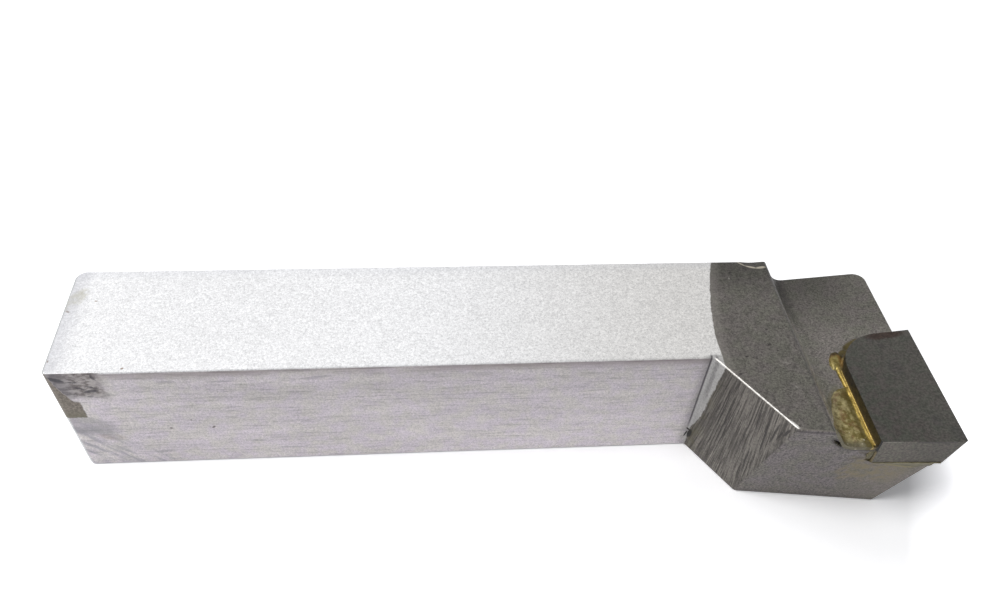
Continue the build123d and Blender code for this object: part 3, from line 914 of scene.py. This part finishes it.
def carbide_finish():
    f = Finish("carbide")
    grain = f.noise(0.3, detail=3, rough=0.65).rise(*GRAIN)
    cloud = f.noise(3.0, detail=3, shift=5.0)
    hue = f.noise(1.2, detail=3, shift=15.0).rise(0.35, 0.65)
    base = f.mix(hue, srgb(71, 72, 65), srgb(76, 71, 68))
    base = f.tint(base, 0.9 + 0.2 * cloud)
    wobble = f.noise(0.6, detail=3, shift=25.0) - 0.5
    u = f.x + wobble * 0.8
    v = f.y + wobble * 0.8
    rake = f.nz.rise(0.8, 0.95)
    base = f.mix(rake * (f.x + f.y * 0.35).rise(56.0, 64.0) * 0.4, base, srgb(88, 86, 81))
    smudges = f.marks(u, v, (((67.3, -10.6), (67.6, -12.2), 1.1), ((65.6, -5.8), (66.0, -6.1), 0.5),
                             ((66.9, -7.2), (67.1, -7.4), 0.5), ((69.1, -20.4), (69.3, -21.3), 0.8),
                             ((70.7, -22.4), (71.1, -23.6), 0.9)))
    base = f.mix(smudges * rake * 0.2, base, srgb(50, 46, 54))
    back = f.marks(u, v, (((65.9, -5.5), (70.4, -5.4), 1.0),)) * rake
    base = f.mix(back * 0.85, base, srgb(58, 44, 38))

    # The ground flank on the offset side, with thin lines at its top
    flank = f.facing((0, -1, -0.1), 0.9, 0.97)
    flank_tone = f.mix(hue, srgb(103, 96, 89), srgb(98, 95, 85))
    base = f.mix(flank, base, f.tint(flank_tone, 0.9 + 0.2 * cloud - f.x.rise(63.5, 69.0) * 0.25))
    drop = f.z - f.x * RAKE - (NOSE.z - NOSE.x * RAKE)
    light = (drop + 0.12).hump(0.0, 0.04, 0.1) * f.x.rise(61.5, 62.0) * f.x.rise(64.4, 63.6) * flank
    base = f.mix(light * 0.4, base, srgb(150, 148, 138))
    dark = (drop + 0.16).hump(0.0, 0.1, 0.16) * f.x.rise(65.4, 66.4) * f.x.rise(70.8, 70.0) * flank
    base = f.mix(dark * 0.6, base, srgb(56, 50, 52))

    # Soot on the rear wall, and over it a brown film that creeps up from the filler
    rear = f.facing((-1, 0, -0.13), 0.5, 0.75)
    base = f.mix(rear, base, srgb(18, 17, 16))
    creep = (f.z + wobble * 0.6).rise(16.3, 15.7) * f.y.rise(-22.4, -21.6)
    base = f.mix(rear * creep * 0.8, base, srgb(32, 25, 16))
    base = f.mix(rear * f.z.rise(15.2, 14.6) * f.y.rise(-21.9, -22.3), base, srgb(118, 106, 74))
    f.set(
        Base_Color=f.tint(base, 0.64 + 0.72 * grain + flank * (grain - 0.5) * 0.3),
        Metallic=0.25,
        Roughness=0.46 + 0.06 * grain,
    )
    f.bump((grain, 0.004), (cloud, 0.02))
    return f.material


def filler_finish():
    f = Finish("braze")
    grain = f.noise(0.17, detail=3, rough=0.65).rise(*GRAIN)
    blotch = f.noise(0.75, detail=4, rough=0.6, shift=3.0)
    hue = f.noise(1.3, detail=3, shift=13.0)

    # Where it ran out: olive and brown, grey at its outer rim, with pale specks
    ran = f.mix(blotch.rise(0.4, 0.59), srgb(116, 104, 56), srgb(170, 158, 112))
    ran = f.mix(hue.rise(0.5, 0.66) * 0.6, ran, srgb(122, 92, 60))
    outer = (f.x - 58.6 - (f.y + 17.0) * 0.25).rise(0.6, -1.2)
    ran = f.mix(outer * 0.5, ran, srgb(136, 127, 104))
    ran = f.tint(ran, 1.0 - f.y.rise(-17.5, -14.5) * 0.2 + (f.y + 19.6).hump(0.0, 0.7, 1.4) * outer * 0.4)
    low_rim = f.y.rise(-20.9, -22.1)
    ran = f.mix(low_rim * 0.75, ran, srgb(98, 95, 80))
    valley = (f.x - 60.75).hump(0.0, 0.2, 0.4)
    ran = f.mix(valley * 0.75, ran, srgb(84, 72, 22))
    specks = f.cells(0.9).rise(0.2, 0.08) * blotch.rise(0.45, 0.6)
    ran = f.mix(specks * 0.7, ran, srgb(206, 198, 176))

    # The bead: a bright gold crest with dark brown on its side to the tip, soot and painted shade in the crease
    gold = f.mix(grain, srgb(176, 146, 68), srgb(206, 180, 106))
    # Dark brown next to the tip's wall: soot, and painted shade in the crease
    inner = (f.x + (blotch - 0.5) * 0.16).rise(61.42, 61.58).high(f.z.rise(15.75, 15.9) * f.x.rise(61.3, 61.45))
    # Painted shade dims the crest's highlight towards its upper end; lighter towards its lower end
    gold = f.tint(gold, 1.0 - f.y.rise(-15.0, -9.5) * 0.4 + f.y.rise(-19.5, -21.5) * 0.25)
    gold = f.mix(inner * 0.93, gold, srgb(38, 29, 15))
    flushed = (f.x + (blotch - 0.5) * 0.2).hump(61.0, 0.08, 0.16)
    gold = f.mix(flushed * 0.5, gold, srgb(150, 132, 48))
    foot = (f.x - 60.96 + (blotch - 0.5) * 0.3).rise(-0.06, 0.2)
    bead = foot * f.y.rise(-7.6, -8.8)
    skin = f.mix(bead, ran, gold)

    # The drop, greenish with a brown rim above, and the brown rim round the tip's corner
    drop = f.marks(f.x, f.y, (((61.2, -8.6), (61.8, -6.5), 1.25),))
    tone = f.mix(blotch.rise(0.35, 0.65), srgb(120, 106, 56), srgb(160, 147, 92))
    tone = f.mix((f.x - f.y * 0.1).rise(62.3, 62.7) * 0.7, tone, srgb(140, 100, 44))
    tone = f.mix((f.y - f.x * 0.3 + (blotch - 0.5) * 0.8).rise(-25.6, -24.9) * 0.85, tone, srgb(98, 66, 38))
    skin = f.mix(drop * (1.0 - bead * 0.4), skin, tone)
    corner = (f.y + (f.x - 62.0).high(0.0) * 0.9).rise(-6.9, -6.3)
    skin = f.mix(corner, skin, f.mix(blotch.rise(0.4, 0.6), srgb(62, 48, 28), srgb(88, 78, 44)))

    # The skirts under the overhangs, golden at their lower edge, with painted light at their tops, and the dark end of
    # the bead
    skirt = f.z.rise(14.3, 13.9).high(f.z.rise(15.28, 15.08) * f.x.rise(60.9, 61.1))
    low = 12.2 - 0.32 * (f.x - 61.4) + 0.018 * (f.x - 61.4) ** 2.0
    edge = (f.z - low).rise(0.6, 0.2)
    tone = f.mix(blotch.rise(0.35, 0.65), srgb(92, 86, 62), srgb(120, 114, 88))
    tone = f.mix(edge * f.x.rise(63.0, 66.0) * 0.7, tone, srgb(150, 138, 100))
    # Painted light: the skirts lighter towards the nose, most at their tops, where the tip's overhang shades them
    painted_light_under_overhang = (f.z - f.x * RAKE - (FOOT.z - FOOT.x * RAKE)).rise(-0.8, -0.2)
    tone = f.tint(tone, 1.0 + f.x.rise(62.5, 65.5) * (0.12 + painted_light_under_overhang * 0.6))
    skin = f.mix(skirt, skin, tone)
    end = f.y.rise(-22.3, -22.5) * f.x.rise(61.05, 61.25) * f.z.rise(15.0, 15.2)
    skin = f.mix(end * 0.85, skin, srgb(38, 30, 20))

    shine = (bead * (1.0 - inner * 0.7)).high(drop * 0.5) * (1.0 - skirt)
    f.set(
        Base_Color=f.tint(skin, 0.82 + 0.36 * grain),
        Metallic=0.3 + 0.4 * shine,
        Roughness=0.55 - 0.19 * shine,
    )
    f.bump((grain, 0.008 - 0.005 * bead), (blotch, 0.05 - 0.045 * bead))
    return f.material


def dress(node, material):
    for place in node.material_slots:
        place.link = "OBJECT"
        place.material = material


make_camera()
make_floor()
make_light()
dress(STEEL, steel_finish())
dress(TIP, carbide_finish())
make_filler()

view = bpy.context.scene.view_settings
view.view_transform = "Standard"
